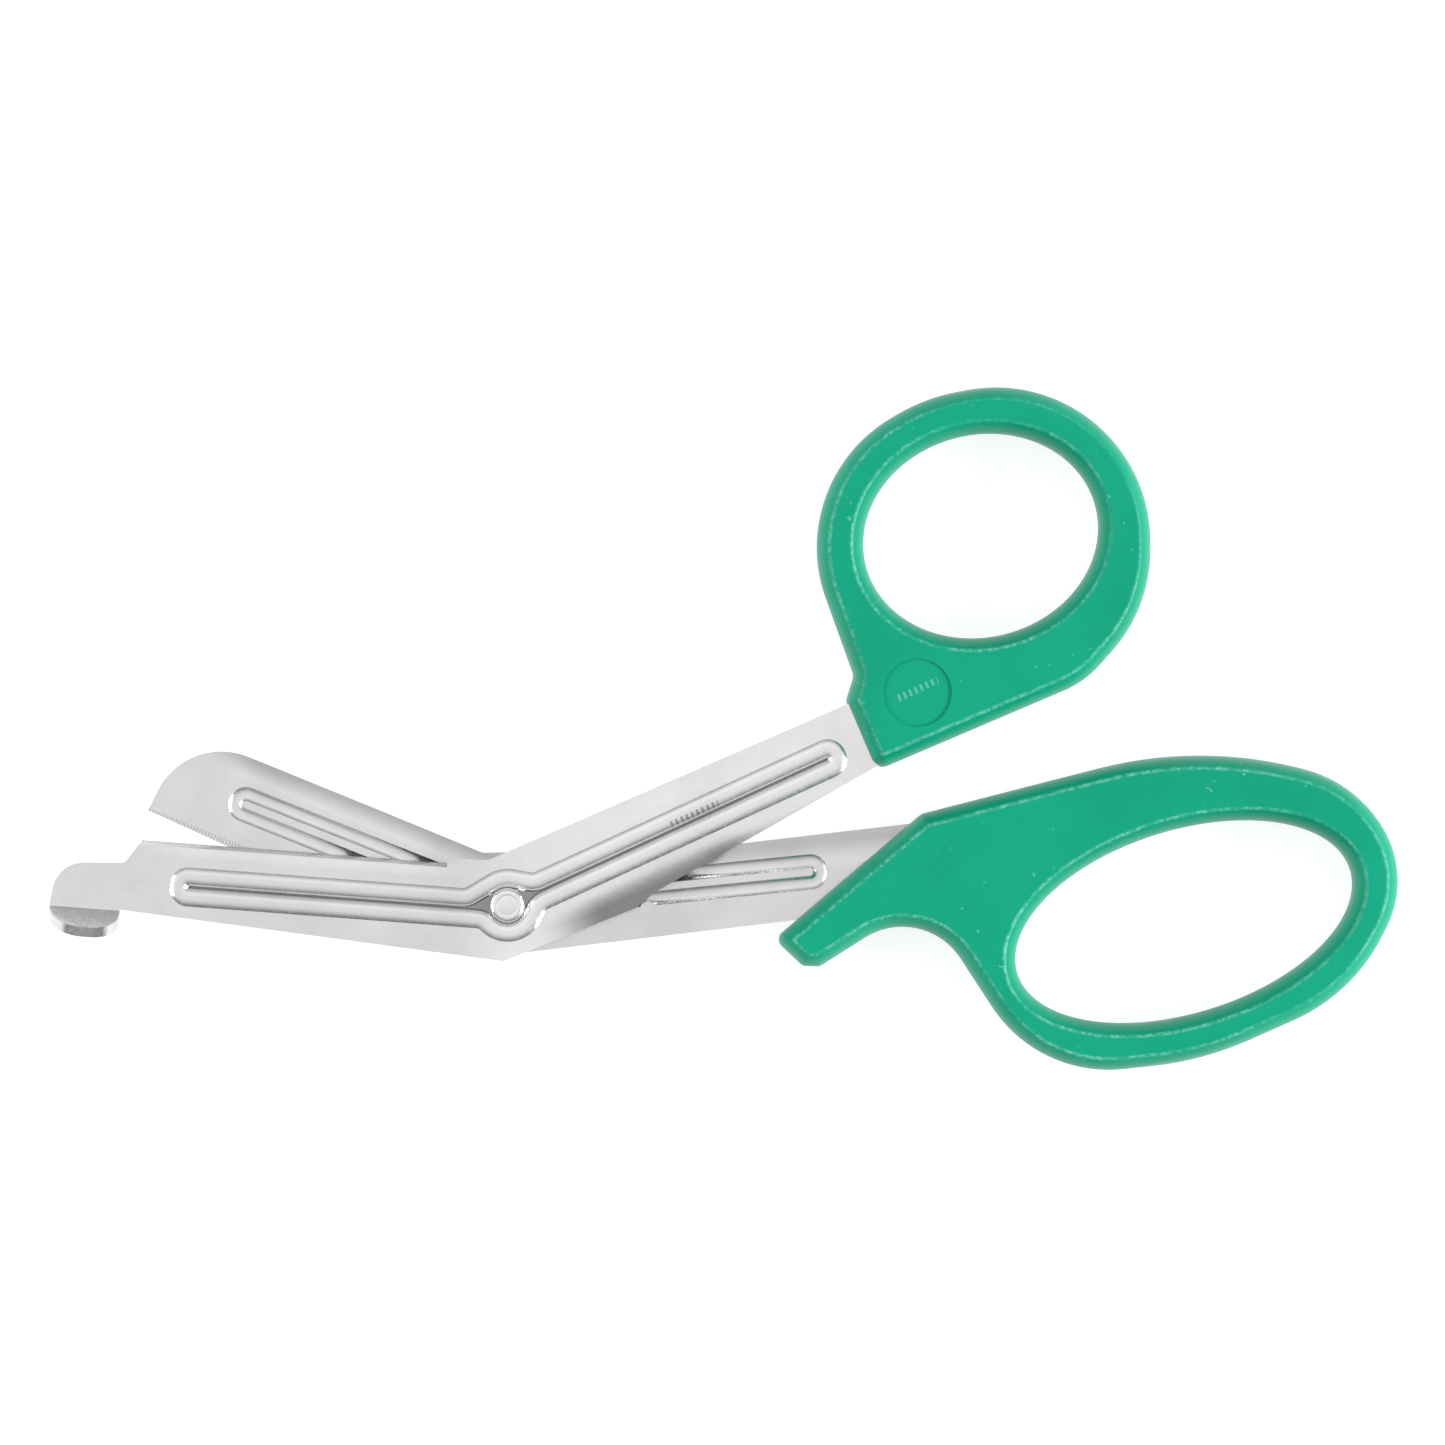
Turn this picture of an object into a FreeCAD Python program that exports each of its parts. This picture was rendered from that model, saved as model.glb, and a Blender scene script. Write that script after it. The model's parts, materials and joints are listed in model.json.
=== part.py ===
import FreeCAD, Part
import math
import os
import Sketcher

# Bandage shears: two stamped steel halves, each bent between its shank and its blade,
# crossed on one rivet and set into moulded plastic finger loops.
#
# Each half is drawn in its own frame. The rivet's axis is at x = y = 0, the shank runs
# along +X, and z = 0 is the plane where the two halves slide past each other. A half's
# Placement turns it to the way the shears lie at rest and lifts it to the table frame.
# "along" is a distance along the shank or the blade, measured from the rivet, and
# "across" is the distance to the side of it.

SIZES = {
    # steel sheet and the fit between the halves
    "steel_thick": 1.6,
    "blade_gap": 0.25,
    "rest_angle_front": 24.7,
    "rest_angle_rear": 5.7,
    # rivet
    "rivet_radius": 1.6,
    "rivet_clearance": 0.04,
    "rivet_head_radius": 2.5,
    "rivet_head_high": 1.25,
    "rivet_head_round": 0.85,
    "washer_play": 0.05,
    "washer_radius": 2.4,
    "washer_thick": 0.6,
    "rivet_tail_radius": 2.1,
    "rivet_tail_high": 0.8,
    "rivet_tail_round": 0.5,
    # raised bead pressed into both halves
    "bead_spread": 1.5,
    "bead_wide": 2.5,
    "bead_high": 0.75,
    "bead_round": 0.7,
    "bead_end_share": 0.96,
    "groove_wide": 2.0,
    "groove_deep": 0.6,
    "groove_round": 0.5,
    "seat_radius": 3.9,
    "seat_wrap_inner": 55.0,
    "seat_wrap_outer": 50.0,
    "seat_blend": 2.4,
    "heel_round": 0.6,
    # front half: shank, blade and foot
    "front_turn": 151.0,
    "front_shank_long": 55.2,
    "front_shank_inner": 5.7,
    "front_shank_outer": 3.85,
    "front_root_along": 0.2,
    "front_root_inner": 6.9,
    "front_root_round": 2.0,
    "front_root_outer": 7.9,
    "front_jog_start": 16.4,
    "front_jog_end": 19.6,
    "front_jog_outer": 7.0,
    "front_jog_round": 1.0,
    "front_step_along": 8.9,
    "front_step_across": 6.0,
    "front_edge_across": 5.25,
    "front_blade_long": 52.0,
    "front_heel_across": 7.9,
    "neck_along": 54.2,
    "neck_inner": 1.9,
    "neck_outer": 4.7,
    "neck_round": 1.0,
    "foot_shoulder_along": 63.5,
    "foot_shoulder_inner": 1.3,
    "foot_shoulder_round": 4.4,
    "foot_end_along": 64.3,
    "foot_end_outer": 4.2,
    "foot_end_round": 1.2,
    "foot_start_along": 54.4,
    "foot_fold_across": 5.8,
    "foot_fold_angle": 60.0,
    "foot_flange_high": 6.0,
    "foot_tip_round": 5.2,
    "foot_back_round": 3.6,
    "foot_fold_round": 0.25,
    "foot_fold_back_round": 1.6,
    "edge_bevel_wide": 0.55,
    "edge_bevel_deep": 1.1,
    "front_bead_shank": 51.0,
    "front_bead_blade": 46.4,
    "front_bead_shift": 0.8,
    "front_bead_lift": -0.1,
    # rear half: shank and round-nosed blade
    "rear_turn": 152.6,
    "rear_shank_long": 52.0,
    "rear_shank_inner": 5.8,
    "rear_shank_outer": 5.75,
    "rear_root_along": -2.8,
    "rear_root_inner": 7.65,
    "rear_root_round": 1.0,
    "rear_waist_along": 30.0,
    "rear_waist_inner": 5.3,
    "rear_heel_across": 7.9,
    "rear_step_across": 8.7,
    "rear_edge_along": 8.5,
    "rear_edge_across": 8.35,
    "rear_blade_long": 52.05,
    "rear_point_across": 6.35,
    "rear_nose_along": 51.2,
    "rear_nose_across": 5.95,
    "rear_nose_round": 10.0,
    "rear_spine_along": 20.0,
    "rear_spine_across": 5.7,
    "rear_bead_shank": 44.3,
    "rear_bead_blade": 41.0,
    "rear_bead_shift": 0.5,
    "rear_bead_lift": 0.4,
    "ride_along": 19.6,
    "ride_across": -2.5,
    "ride_radius": 1.1,
    "ride_high": 0.12,
    # tangs that the handles are moulded on to
    "tang_hole_radius": 1.3,
    "tang_corner": 1.0,
    "thumb_shoulder": 1.6,
    "thumb_tang_long": 21.0,
    "thumb_tang_inner": 2.9,
    "thumb_tang_outer": 3.0,
    "thumb_lock_near": 8.0,
    "thumb_lock_far": 16.0,
    "finger_shoulder": 7.6,
    "finger_tang_long": 24.0,
    "finger_tang_inner": 3.4,
    "finger_tang_outer": 4.2,
    "finger_lock_near": 12.0,
    "finger_lock_far": 19.0,
    # handles
    "handle_thick": 9.6,
    "handle_bevel": 0.8,
    # thumb loop, its hole and its outline, measured from the hole's centre or half axes
    "thumb_hole_along": 27.1,
    "thumb_hole_across": 19.4,
    "thumb_hole_long": 16.7,
    "thumb_hole_wide": 14.25,
    "thumb_hole_tilt": -9.8,
    "badge_along": 10.1,
    "badge_across": 3.6,
    "badge_radius": 4.25,
    "badge_deep": 0.25,
    # finger loop
    "finger_hole_along": 42.6,
    "finger_hole_across": -11.8,
    "finger_hole_long": 24.55,
    "finger_hole_wide": 12.85,
    "finger_hole_tilt": 11.7,
}

# The outlines of the loops are straight guide lines with rounded corners. Each corner is
# (name, along, across, round). In ring corners the first two are added to the hole's
# centre plus or minus its half axes, so that the wall around the hole keeps its width.
THUMB_RING = [
    ("near", -1, +1, -6.3, -7.2, 20.6),
    ("near_top", -1, +1, +2.7, +5.15, 21.2),
    ("top", 0, +1, +1.1, +6.75, 26.5),
    ("far_top", +1, +1, +2.7, +2.05, 21.8),
    ("far", +1, 0, +8.0, -3.5, 21.5),
    ("far_low", +1, -1, +0.9, -4.95, 21.3),
    ("low", 0, -1, +4.8, -10.55, 14.3),
]
THUMB_TAIL = [
    ("chin", -0.2, -4.5, 1.9),
    ("lip", +0.1, +6.2, 1.1),
    ("nick", +2.6, +9.0, 1.7),
]
FINGER_RING = [
    ("crown", 0, +1, +4.6, +12.05, 57.2),
    ("far_top", +1, +1, +1.25, +4.45, 18.2),
    ("far", +1, 0, +8.25, +3.4, 14.5),
    ("far_low", +1, -1, -1.75, +0.35, 25.5),
    ("low", 0, -1, +0.7, -6.95, 44.9),
    ("near_low", -1, -1, +1.95, -7.05, 19.6),
]
FINGER_TAIL = [
    ("notch", +6.3, -5.2, 9.8),
    ("hook_heel", -9.1, -13.0, 1.0),
    ("hook_toe", -11.5, -12.7, 1.5),
    ("hook_top", -15.1, -8.5, 1.3),
    ("brow", +7.3, +7.0, 2.3),
]

doc = FreeCAD.newDocument("bandage_shears")
sheet = doc.addObject("Spreadsheet::Sheet", "Sizes")
rows = dict(SIZES, shift_x=0.0, shift_y=0.0, shift_z=0.0)
for prefix, ring in (("thumb", THUMB_RING), ("finger", FINGER_RING)):
    for name, side_along, side_across, along, across, radius in ring:
        rows[f"{prefix}_{name}_along"] = along
        rows[f"{prefix}_{name}_across"] = across
        rows[f"{prefix}_{name}_round"] = radius
for prefix, tail in (("thumb", THUMB_TAIL), ("finger", FINGER_TAIL)):
    for name, along, across, radius in tail:
        rows[f"{prefix}_{name}_along"] = along
        rows[f"{prefix}_{name}_across"] = across
        rows[f"{prefix}_{name}_round"] = radius
for row, (alias, size) in enumerate(rows.items(), start=1):
    sheet.set(f"A{row}", alias)
    sheet.set(f"B{row}", str(size))
    sheet.setAlias(f"B{row}", alias)
doc.recompute()


def cell(alias):
    """How an expression names one size in the sheet."""
    return f"Sizes.{alias}"


def value(expression):
    return float(sheet.evalExpression(expression))


def vector(x, y, z=0.0):
    return FreeCAD.Vector(x, y, z)


# ---------------------------------------------------------------- sketches

def new_sketch(body, name, plane="XY_Plane", offset=None):
    """A sketch on one of the body's own origin planes, moved along its normal by offset."""
    sketch = body.newObject("Sketcher::SketchObject", name)
    origin = [f for f in body.Origin.OriginFeatures if f.Role == plane][0]
    sketch.AttachmentSupport = (origin, [""])
    sketch.MapMode = "FlatFace"
    if offset:
        sketch.setExpression("AttachmentOffset.Base.z", offset)
    return sketch


def pin_point(sketch, geometry, end, x, y):
    """Holds a point at the two expressions, measured from the sketch's origin."""
    for kind, expression in (("DistanceX", x), ("DistanceY", y)):
        index = sketch.addConstraint(
            Sketcher.Constraint(kind, -1, 1, geometry, end, value(expression))
        )
        sketch.setExpression(f"Constraints[{index}]", expression)


def turn_at(spots, i):
    """The headings into and out of a corner, and the angle that the outline turns there."""
    heading_in = (spots[i] - spots[i - 1]).normalize()
    heading_out = (spots[(i + 1) % len(spots)] - spots[i]).normalize()
    turn = math.atan2(heading_in.cross(heading_out).z, heading_in.dot(heading_out))
    return heading_in, heading_out, turn


def fit_rounds(corners, spots):
    """The corners again, each radius limited to what its two edges have room for."""
    count = len(corners)
    reaches = []
    for i, (x, y, radius) in enumerate(corners):
        heading_in, heading_out, turn = turn_at(spots, i)
        reaches.append(value(radius) * math.tan(abs(turn) / 2) if radius else 0.0)
    fitted = list(corners)
    for i, (x, y, radius) in enumerate(corners):
        shares = [1.0]
        for j in (i - 1, (i + 1) % count):
            wanted = reaches[i] + reaches[j]
            room = (spots[i] - spots[j]).Length
            if wanted > room:
                shares.append(0.98 * room / wanted)
        if radius and min(shares) < 1.0:
            fitted[i] = (x, y, f"({radius}) * {min(shares):.4f}")
    return fitted


def add_outline(sketch, corners):
    """A closed outline of straight edges. Each corner is (x, y, radius) as expressions,
    with no radius for a sharp corner, and is rounded by an arc tangent to both edges."""
    count = len(corners)
    spots = [vector(value(x), value(y)) for x, y, radius in corners]
    corners = fit_rounds(corners, spots)
    arrive, leave, arcs = [], [], []
    for i, (x, y, radius) in enumerate(corners):
        spot = spots[i]
        if not radius:
            arrive.append(spot)
            leave.append(spot)
            arcs.append(None)
            continue
        heading_in, heading_out, turn = turn_at(spots, i)
        reach = value(radius) * math.tan(abs(turn) / 2)
        arrive.append(spot - heading_in * reach)
        leave.append(spot + heading_out * reach)
        left = math.copysign(1.0, turn)
        to_centre = vector(-heading_in.y, heading_in.x) * left
        centre = arrive[i] + to_centre * value(radius)
        first, last = (arrive[i], leave[i]) if left > 0 else (leave[i], arrive[i])
        start = math.atan2(first.y - centre.y, first.x - centre.x)
        end = math.atan2(last.y - centre.y, last.x - centre.x)
        circle = Part.Circle(centre, vector(0, 0, 1), value(radius))
        arcs.append((Part.ArcOfCircle(circle, start, end), left))
    lines = [
        sketch.addGeometry(Part.LineSegment(leave[i], arrive[(i + 1) % count]))
        for i in range(count)
    ]
    for i, (x, y, radius) in enumerate(corners):
        before, after = lines[i - 1], lines[i]
        if not radius:
            sketch.addConstraint(Sketcher.Constraint("Coincident", before, 2, after, 1))
            pin_point(sketch, after, 1, x, y)
            continue
        shape, left = arcs[i]
        arc = sketch.addGeometry(shape)
        guide = sketch.addGeometry(Part.Point(spots[i]), True)
        pin_point(sketch, guide, 1, x, y)
        into, out = (1, 2) if left > 0 else (2, 1)
        sketch.addConstraint([
            Sketcher.Constraint("PointOnObject", guide, 1, before),
            Sketcher.Constraint("PointOnObject", guide, 1, after),
            Sketcher.Constraint("Tangent", before, 2, arc, into),
            Sketcher.Constraint("Tangent", arc, out, after, 1),
        ])
        index = sketch.addConstraint(
            Sketcher.Constraint("Radius", arc, value(radius))
        )
        sketch.setExpression(f"Constraints[{index}]", radius)


def add_circle(sketch, x, y, radius):
    centre = vector(value(x), value(y))
    circle = sketch.addGeometry(Part.Circle(centre, vector(0, 0, 1), value(radius)))
    pin_point(sketch, circle, 3, x, y)
    index = sketch.addConstraint(Sketcher.Constraint("Radius", circle, value(radius)))
    sketch.setExpression(f"Constraints[{index}]", radius)


def add_ellipse(sketch, x, y, half_long, half_wide, tilt):
    """An ellipse held by its centre and by the ends of its two half axes. The longer half
    axis comes first, whichever of the two it is."""
    if value(half_long) < value(half_wide):
        half_long, half_wide, tilt = half_wide, half_long, f"({tilt} + 90)"
    long_end = (f"{x} + {half_long} * cos({tilt})", f"{y} + {half_long} * sin({tilt})")
    wide_end = (f"{x} - {half_wide} * sin({tilt})", f"{y} + {half_wide} * cos({tilt})")
    spots = [vector(value(px), value(py)) for px, py in (long_end, wide_end, (x, y))]
    ellipse = sketch.addGeometry(Part.Ellipse(*spots))
    pin_point(sketch, ellipse, 3, x, y)
    sketch.exposeInternalGeometry(ellipse)
    for axis, (end_x, end_y), spot in (
        (ellipse + 1, long_end, spots[0]),
        (ellipse + 2, wide_end, spots[1]),
    ):
        line = sketch.Geometry[axis]
        if (line.StartPoint - spot).Length < (line.EndPoint - spot).Length:
            end = 1
        else:
            end = 2
        if axis == ellipse + 1:
            pin_point(sketch, axis, end, end_x, end_y)
        else:
            index = sketch.addConstraint(
                Sketcher.Constraint("Distance", axis, 2 * value(half_wide))
            )
            sketch.setExpression(f"Constraints[{index}]", f"2 * {half_wide}")


# ---------------------------------------------------------------- features

def new_body(name):
    body = doc.addObject("PartDesign::Body", name)
    body.Label = name
    return body


def pad(body, name, sketch, length):
    feature = body.newObject("PartDesign::Pad", name)
    feature.Profile = sketch
    feature.setExpression("Length", length)
    doc.recompute()
    return feature


def pocket(body, name, sketch, length):
    """Cuts upwards from the sketch and makes sure that something was cut."""
    before = body.Shape.Volume
    feature = body.newObject("PartDesign::Pocket", name)
    feature.Profile = sketch
    feature.Reversed = True
    feature.setExpression("Length", length)
    doc.recompute()
    if not body.Shape.Volume < before - 1e-3:
        raise RuntimeError(f"{name} cut nothing")
    return feature


def edges_near(shape, spots, tolerance=0.05):
    """Names of the edges whose middle lies on one of the spots."""
    names = []
    for i, edge in enumerate(shape.Edges, start=1):
        middle = edge.valueAt((edge.FirstParameter + edge.LastParameter) / 2)
        if any((middle - spot).Length < tolerance for spot in spots):
            names.append(f"Edge{i}")
    return names


def flat_faces(shape, heights):
    """Names of the level faces that lie at one of the heights."""
    names = []
    for i, face in enumerate(shape.Faces, start=1):
        box = face.BoundBox
        if box.ZLength < 1e-5 and any(abs(box.ZMin - z) < 1e-4 for z in heights):
            names.append(f"Face{i}")
    return names


# ---------------------------------------------------------------- steel halves

FRONT_LOW = "(Sizes.blade_gap / 2)"
FRONT_HIGH = "(Sizes.blade_gap / 2 + Sizes.steel_thick)"
REAR_LOW = "(-Sizes.blade_gap / 2 - Sizes.steel_thick)"
REAR_HIGH = "(-Sizes.blade_gap / 2)"


def on_blade(half, along, across):
    """A point on the blade as shank-frame expressions. A positive across is on the
    outside of the bend for both halves."""
    turn = cell(f"{half}_turn")
    x = f"({along}) * cos({turn}) - ({across}) * sin({turn})"
    y = f"({along}) * sin({turn}) + ({across}) * cos({turn})"
    return x, y


def tang_corners(half, handle):
    """The tang inside the handle, from the outside of the bend round to the inside."""
    shoulder = f"{cell(half + '_shank_long')} + {cell(handle + '_shoulder')}"
    tip = f"{cell(half + '_shank_long')} + {cell(handle + '_tang_long')}"
    outer = f"-{cell(handle + '_tang_outer')}"
    inner = cell(f"{handle}_tang_inner")
    corner = "Sizes.tang_corner"
    return [
        (shoulder, f"-{cell(half + '_shank_outer')}", None),
        (shoulder, outer, None),
        (tip, outer, corner),
        (tip, inner, corner),
        (shoulder, inner, None),
        (shoulder, cell(f"{half}_shank_inner"), None),
    ]


def tang_locks(sketch, half, handle):
    """The two round holes in the tang that the plastic flows through."""
    middle = f"({cell(handle + '_tang_inner')} - {cell(handle + '_tang_outer')}) / 2"
    for place in ("near", "far"):
        along = f"{cell(half + '_shank_long')} + {cell(handle + '_lock_' + place)}"
        add_circle(sketch, along, middle, "Sizes.tang_hole_radius")


def bead_loop(sketch, half, grow):
    """A long loop along shank and blade that swells into a round seat about the rivet.
    grow moves it outwards from the middle of the bead."""
    spread = f"(Sizes.bead_spread + ({grow}))"
    seat = f"(Sizes.seat_radius + ({grow}))"
    blend = f"(Sizes.seat_blend - ({grow}))"
    end_round = f"{spread} * Sizes.bead_end_share"
    lift = cell(f"{half}_bead_lift")
    shift = cell(f"{half}_bead_shift")
    shank_end = f"{cell(half + '_bead_shank')} + ({grow})"
    blade_end = f"{cell(half + '_bead_blade')} + ({grow})"
    turn = cell(f"{half}_turn")
    inner = "Sizes.seat_wrap_inner"
    outer = "Sizes.seat_wrap_outer"

    def meets_seat(across, wrap):
        """How far along a line at that distance across meets the seat's tangent."""
        return f"({seat} - ({across}) * sin({wrap})) / cos({wrap})"

    def seat_corner(low, high):
        """The corner between the seat's tangents at two angles."""
        reach = f"{seat} / cos((({high}) - ({low})) / 2)"
        middle = f"((({high}) + ({low})) / 2)"
        return f"{reach} * cos({middle})", f"{reach} * sin({middle})", seat

    shank_in = f"{lift} + {spread}"
    shank_out = f"{lift} - {spread}"
    blade_in = f"{shift} - {spread}"
    blade_out = f"{shift} + {spread}"
    add_outline(sketch, [
        (shank_end, shank_out, end_round),
        (shank_end, shank_in, end_round),
        (meets_seat(shank_in, inner), shank_in, blend),
        seat_corner(inner, f"{turn} - {inner}"),
        (*on_blade(half, meets_seat(f"-({blade_in})", inner), blade_in), blend),
        (*on_blade(half, blade_end, blade_in), end_round),
        (*on_blade(half, blade_end, blade_out), end_round),
        (*on_blade(half, meets_seat(blade_out, outer), blade_out), blend),
        seat_corner(f"{turn} + {outer}", f"360 - {outer}"),
        (meets_seat(f"-({shank_out})", outer), shank_out, blend),
    ])


def layer(face, outwards, depth):
    """The low side and the far side of a layer that goes outwards from a face."""
    if outwards > 0:
        return face, f"{face} + {depth}"
    return f"{face} - {depth}", f"{face} - {depth}"


def round_level_face(body, name, height, radius):
    base = body.Tip
    rounded = body.newObject("PartDesign::Fillet", name)
    rounded.Base = (base, flat_faces(base.Shape, [value(height)]))
    rounded.setExpression("Radius", radius)
    doc.recompute()


def press_bead(body, half, outer_face, outwards):
    """Raises a rounded bead on the outer face."""
    low, crest = layer(outer_face, outwards, "Sizes.bead_high")
    ridge = new_sketch(body, f"{half}_bead_outline", offset=low)
    bead_loop(ridge, half, "Sizes.bead_wide / 2")
    bead_loop(ridge, half, "-Sizes.bead_wide / 2")
    pad(body, f"{half}_bead", ridge, "Sizes.bead_high")
    round_level_face(body, f"{half}_bead_round", crest, "Sizes.bead_round")


def press_groove(body, half, inner_face, outwards):
    """Sinks the groove that the press leaves in the sliding face, behind the bead."""
    low, floor = layer(inner_face, outwards, "Sizes.groove_deep")
    dent = new_sketch(body, f"{half}_groove_outline", offset=low)
    bead_loop(dent, half, "Sizes.groove_wide / 2")
    bead_loop(dent, half, "-Sizes.groove_wide / 2")
    pocket(body, f"{half}_groove", dent, "Sizes.groove_deep")
    round_level_face(body, f"{half}_groove_round", floor, "Sizes.groove_round")


def bevel_edge(body, name, middle, inward):
    """Grinds one long edge, narrow on the flat face and deep down the side. inward
    points from the edge across the flat face."""
    base = body.Tip
    bevel = body.newObject("PartDesign::Chamfer", name)
    bevel.Base = (base, edges_near(base.Shape, [middle]))
    bevel.ChamferType = "Two distances"
    bevel.setExpression("Size", "Sizes.edge_bevel_wide")
    bevel.setExpression("Size2", "Sizes.edge_bevel_deep")
    doc.recompute()
    reach = (value("Sizes.edge_bevel_wide") + value("Sizes.edge_bevel_deep")) / 2
    into_steel = math.copysign(0.02, value("Sizes.blade_gap / 2") - middle.z)
    kept = middle + inward * reach + vector(0, 0, into_steel)
    if not body.Shape.isInside(kept, 1e-4, False):
        bevel.FlipDirection = True
        doc.recompute()


def spot_on(point, z):
    """The place in space of a pair of expressions at one height."""
    return vector(value(point[0]), value(point[1]), value(z))


front_blade = new_body("front_blade")
outline = new_sketch(front_blade, "front_outline", offset=FRONT_LOW)
front_heel = on_blade("front", "0", "Sizes.front_heel_across")
edge_end = on_blade("front", "Sizes.front_blade_long", "-Sizes.front_edge_across")
edge_start = on_blade("front", "Sizes.front_step_along", "-Sizes.front_edge_across")
# The foot's end corner stays clear of the steel that the fold rounds.
clear_of_fold = "Sizes.foot_fold_across - Sizes.foot_fold_back_round"
foot_end_across = f"min(Sizes.foot_end_outer; {clear_of_fold})"
fold_end = on_blade("front", "Sizes.foot_end_along", "Sizes.foot_fold_across")
fold_start = on_blade("front", "Sizes.foot_start_along", "Sizes.foot_fold_across")
add_outline(outline, [
    (*front_heel, "Sizes.heel_round"),
    ("Sizes.front_jog_start", "-Sizes.front_root_outer", "Sizes.front_jog_round"),
    ("Sizes.front_jog_end", "-Sizes.front_jog_outer", "Sizes.front_jog_round"),
    *tang_corners("front", "thumb"),
    ("Sizes.front_root_along", "Sizes.front_root_inner", "Sizes.front_root_round"),
    (*on_blade("front", "Sizes.front_step_along", "-Sizes.front_step_across"), None),
    (*edge_start, None),
    (*edge_end, None),
    (*on_blade("front", "Sizes.neck_along", "-Sizes.neck_inner"), "Sizes.neck_round"),
    (*on_blade("front", "Sizes.foot_shoulder_along", "-Sizes.foot_shoulder_inner"),
     "Sizes.foot_shoulder_round"),
    (*on_blade("front", "Sizes.foot_end_along", foot_end_across), "Sizes.foot_end_round"),
    (*fold_end, None),
    (*fold_start, None),
    (*on_blade("front", "Sizes.foot_start_along", "Sizes.neck_outer"), None),
])
pad(front_blade, "front_plate", outline, "Sizes.steel_thick")

# The foot's flange stands on the fold line, leaned over by the fold angle. Its sketch
# plane is its outer face, with x along the blade and y up the flange.
flange = new_sketch(front_blade, "foot_outline")
fold_x, fold_y = on_blade("front", "0", "Sizes.foot_fold_across")
flange.setExpression(
    "AttachmentOffset",
    f"placement(vector({fold_x}; {fold_y}; {FRONT_LOW}); "
    "rotation(Sizes.front_turn; 0; Sizes.foot_fold_angle))",
)
add_outline(flange, [
    ("Sizes.foot_start_along", "0", None),
    ("Sizes.foot_end_along", "0", None),
    ("Sizes.foot_end_along", "Sizes.foot_flange_high", "Sizes.foot_tip_round"),
    ("Sizes.foot_start_along", "Sizes.foot_flange_high", "Sizes.foot_back_round"),
])
pad(front_blade, "foot_flange", flange, "Sizes.steel_thick")

# The fold is rounded inside and outside.
foot_middle = "(Sizes.foot_start_along + Sizes.foot_end_along) / 2"
inner_fold = "Sizes.foot_fold_across - Sizes.steel_thick * tan(Sizes.foot_fold_angle / 2)"
for name, across, z, radius in (
    ("fold_outside", "Sizes.foot_fold_across", FRONT_LOW,
     "Sizes.foot_fold_back_round"),
    ("fold_inside", inner_fold, FRONT_HIGH, "Sizes.foot_fold_round"),
):
    base = front_blade.Tip
    middle = spot_on(on_blade("front", foot_middle, across), z)
    fold = front_blade.newObject("PartDesign::Fillet", name)
    fold.Base = (base, edges_near(base.Shape, [middle], tolerance=0.3))
    fold.setExpression("Radius", radius)
    doc.recompute()

along_edge = spot_on(edge_start, "0") + spot_on(edge_end, "0")
across_blade = vector(value("-sin(Sizes.front_turn)"), value("cos(Sizes.front_turn)"))
bevel_edge(
    front_blade, "front_grind",
    along_edge / 2 + vector(0, 0, value(FRONT_HIGH)), across_blade,
)

press_bead(front_blade, "front", FRONT_HIGH, +1)
press_groove(front_blade, "front", FRONT_LOW, +1)

holes = new_sketch(front_blade, "front_holes", offset=FRONT_LOW)
add_circle(holes, "0", "0", "Sizes.rivet_radius")
tang_locks(holes, "front", "thumb")
pocket(front_blade, "front_hole_cut", holes, "Sizes.steel_thick")

rear_blade = new_body("rear_blade")
outline = new_sketch(rear_blade, "rear_outline", offset=REAR_LOW)
edge_end = on_blade("rear", "Sizes.rear_blade_long", "Sizes.rear_point_across")
edge_start = on_blade("rear", "Sizes.rear_edge_along", "Sizes.rear_edge_across")
add_outline(outline, [
    (*on_blade("rear", "0", "Sizes.rear_heel_across"), "Sizes.heel_round"),
    *tang_corners("rear", "finger"),
    ("Sizes.rear_waist_along", "Sizes.rear_waist_inner", None),
    ("Sizes.rear_root_along", "Sizes.rear_root_inner", "Sizes.rear_root_round"),
    (*on_blade("rear", "Sizes.rear_spine_along", "-Sizes.rear_spine_across"), None),
    (*on_blade("rear", "Sizes.rear_nose_along", "-Sizes.rear_nose_across"),
     "Sizes.rear_nose_round"),
    (*edge_end, None),
    (*edge_start, None),
    (*on_blade("rear", "Sizes.rear_edge_along", "Sizes.rear_step_across"), None),
])
pad(rear_blade, "rear_plate", outline, "Sizes.steel_thick")

along_edge = spot_on(edge_start, "0") + spot_on(edge_end, "0")
across_blade = vector(value("sin(Sizes.rear_turn)"), value("-cos(Sizes.rear_turn)"))
bevel_edge(
    rear_blade, "rear_grind",
    along_edge / 2 + vector(0, 0, value(REAR_LOW)), across_blade,
)

press_bead(rear_blade, "rear", REAR_LOW, -1)
press_groove(rear_blade, "rear", REAR_HIGH, -1)

ride = new_sketch(rear_blade, "ride_outline", offset=REAR_HIGH)
add_circle(ride, "Sizes.ride_along", "Sizes.ride_across", "Sizes.ride_radius")
pad(rear_blade, "ride", ride, "Sizes.ride_high")

holes = new_sketch(rear_blade, "rear_holes", offset=REAR_LOW)
add_circle(holes, "0", "0", "Sizes.rivet_radius + Sizes.rivet_clearance")
tang_locks(holes, "rear", "finger")
pocket(rear_blade, "rear_hole_cut", holes, "Sizes.steel_thick")


# ---------------------------------------------------------------- rivet and washer

WASHER_HIGH = f"({REAR_LOW} - Sizes.washer_play)"
WASHER_LOW = f"({WASHER_HIGH} - Sizes.washer_thick)"

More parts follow.
